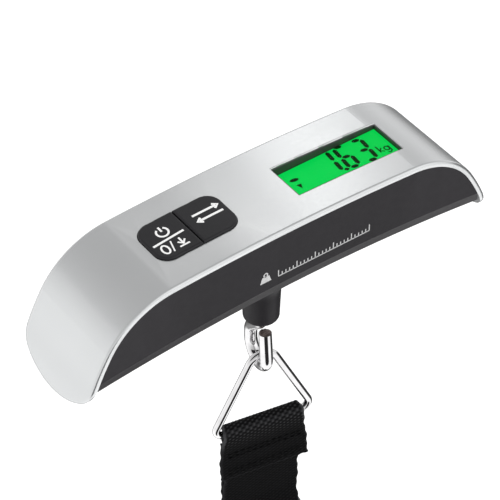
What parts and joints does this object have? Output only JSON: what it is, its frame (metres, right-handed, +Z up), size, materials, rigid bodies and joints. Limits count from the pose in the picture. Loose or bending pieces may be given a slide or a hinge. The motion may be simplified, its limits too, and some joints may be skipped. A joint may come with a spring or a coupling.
{
  "type": "digital luggage scale",
  "caption": "Handheld digital luggage scale: arched handle with keys and a lit display, swivel hook, wire ring and a webbing loop with a side-release buckle.",
  "frame": {"origin": "hook axis at the underside of the handle, at mid-length, where the fingers carry it", "axes": "+X along the handle, -Y the front side (printed panel), +Z up"},
  "size_m": [0.1438, 0.0338, 0.2463],
  "materials": {
    "silver_paint": "satin silver paint on moulded plastic",
    "black_plastic": "fine texture",
    "key_plastic": "fine texture, printed legends",
    "bezel_plastic": "smooth",
    "clear_window": "clear",
    "lcd_glass": "back-lit green with dark segments",
    "light_guide": "diffusing",
    "chrome_wire": "polished",
    "beam_aluminium": "machined",
    "zinc_screws": "zinc plated",
    "board_laminate": "solder mask",
    "black_component": "moulded",
    "strip_rubber": "silicone",
    "gauge_film": "polyimide film",
    "wire_insulation": "smooth",
    "contact_brass": "nickel plated",
    "cell_steel": "satin",
    "webbing_black": "woven polyester",
    "buckle_plastic": "acetal, slight sheen"
  },
  "bodies": {
    "handle": {"top_cover": "silver_paint", "lower_housing": "black_plastic", "stem_sleeve": "black_plastic", "display_bezel": "bezel_plastic", "display_window": "clear_window", "lcd_panel": "lcd_glass", "lcd_backlight": "light_guide", "lcd_contact_strips": "strip_rubber", "tact_switches": "zinc_screws", "main_board": "board_laminate", "controller_seal": "black_component", "board_screws": "zinc_screws", "load_cell": "beam_aluminium", "load_cell_screws": "zinc_screws", "strain_gauges": "gauge_film", "load_cell_wires": "wire_insulation", "coin_cell": "cell_steel", "battery_contact_negative": "contact_brass", "battery_contact_positive": "contact_brass", "battery_wires": "wire_insulation", "case_screws": "zinc_screws"},
    "hook": {"hook": "chrome_wire", "hook_washer": "zinc_screws", "hook_nut": "zinc_screws"},
    "ring": {"triangle_ring": "chrome_wire"},
    "strap": {"strap_webbing": "webbing_black", "buckle_tab": "webbing_black", "buckle_socket": "buckle_plastic", "buckle_plug": "buckle_plastic"},
    "latch_left": {"buckle_latch_left": "buckle_plastic"},
    "latch_right": {"buckle_latch_right": "buckle_plastic"},
    "key_power_zero": {"key_power_zero": "key_plastic", "switch_plunger_power": "black_component"},
    "key_unit": {"key_unit": "key_plastic", "switch_plunger_unit": "black_component"},
    "battery_cover": {"battery_cover": "black_plastic"}
  },
  "joints": [
    {"name": "key_power_zero_press", "type": "slide", "parent": "handle", "child": "key_power_zero", "axis": [0, 0, -1], "range_m": [0, 0.0005], "stiffness_N_per_m": 1500},
    {"name": "key_unit_press", "type": "slide", "parent": "handle", "child": "key_unit", "axis": [0, 0, -1], "range_m": [0, 0.0005], "stiffness_N_per_m": 1500},
    {"name": "battery_cover_lift", "type": "slide", "parent": "handle", "child": "battery_cover", "axis": [0, 0, -1], "range_m": [0, 0.015]},
    {"name": "hook_swivel", "type": "hinge", "parent": "handle", "child": "hook", "pos_m": [0, 0, 0], "axis": [0, 0, 1], "continuous": true},
    {"name": "ring_swing", "type": "hinge", "parent": "hook", "child": "ring", "pos_m": [0, 0, -0.03915], "axis": [0.1891, 0.982, 0], "range_deg": [-25, 25]},
    {"name": "strap_swing", "type": "hinge", "parent": "ring", "child": "strap", "pos_m": [0.00059, -0.00011, -0.0648], "axis": [0.982, -0.1891, 0], "range_deg": [-75, 75]},
    {"name": "latch_left_squeeze", "type": "hinge", "parent": "strap", "child": "latch_left", "pos_m": [-0.00772, 0.00963, -0.1436], "axis": [0.1891, 0.982, 0], "range_deg": [0, 8], "stiffness_Nm_per_rad": 0.5},
    {"name": "latch_right_squeeze", "type": "hinge", "parent": "strap", "child": "latch_right", "pos_m": [0.01192, 0.00585, -0.1436], "axis": [-0.1891, -0.982, 0], "range_deg": [0, 8], "stiffness_Nm_per_rad": 0.5}
  ]
}
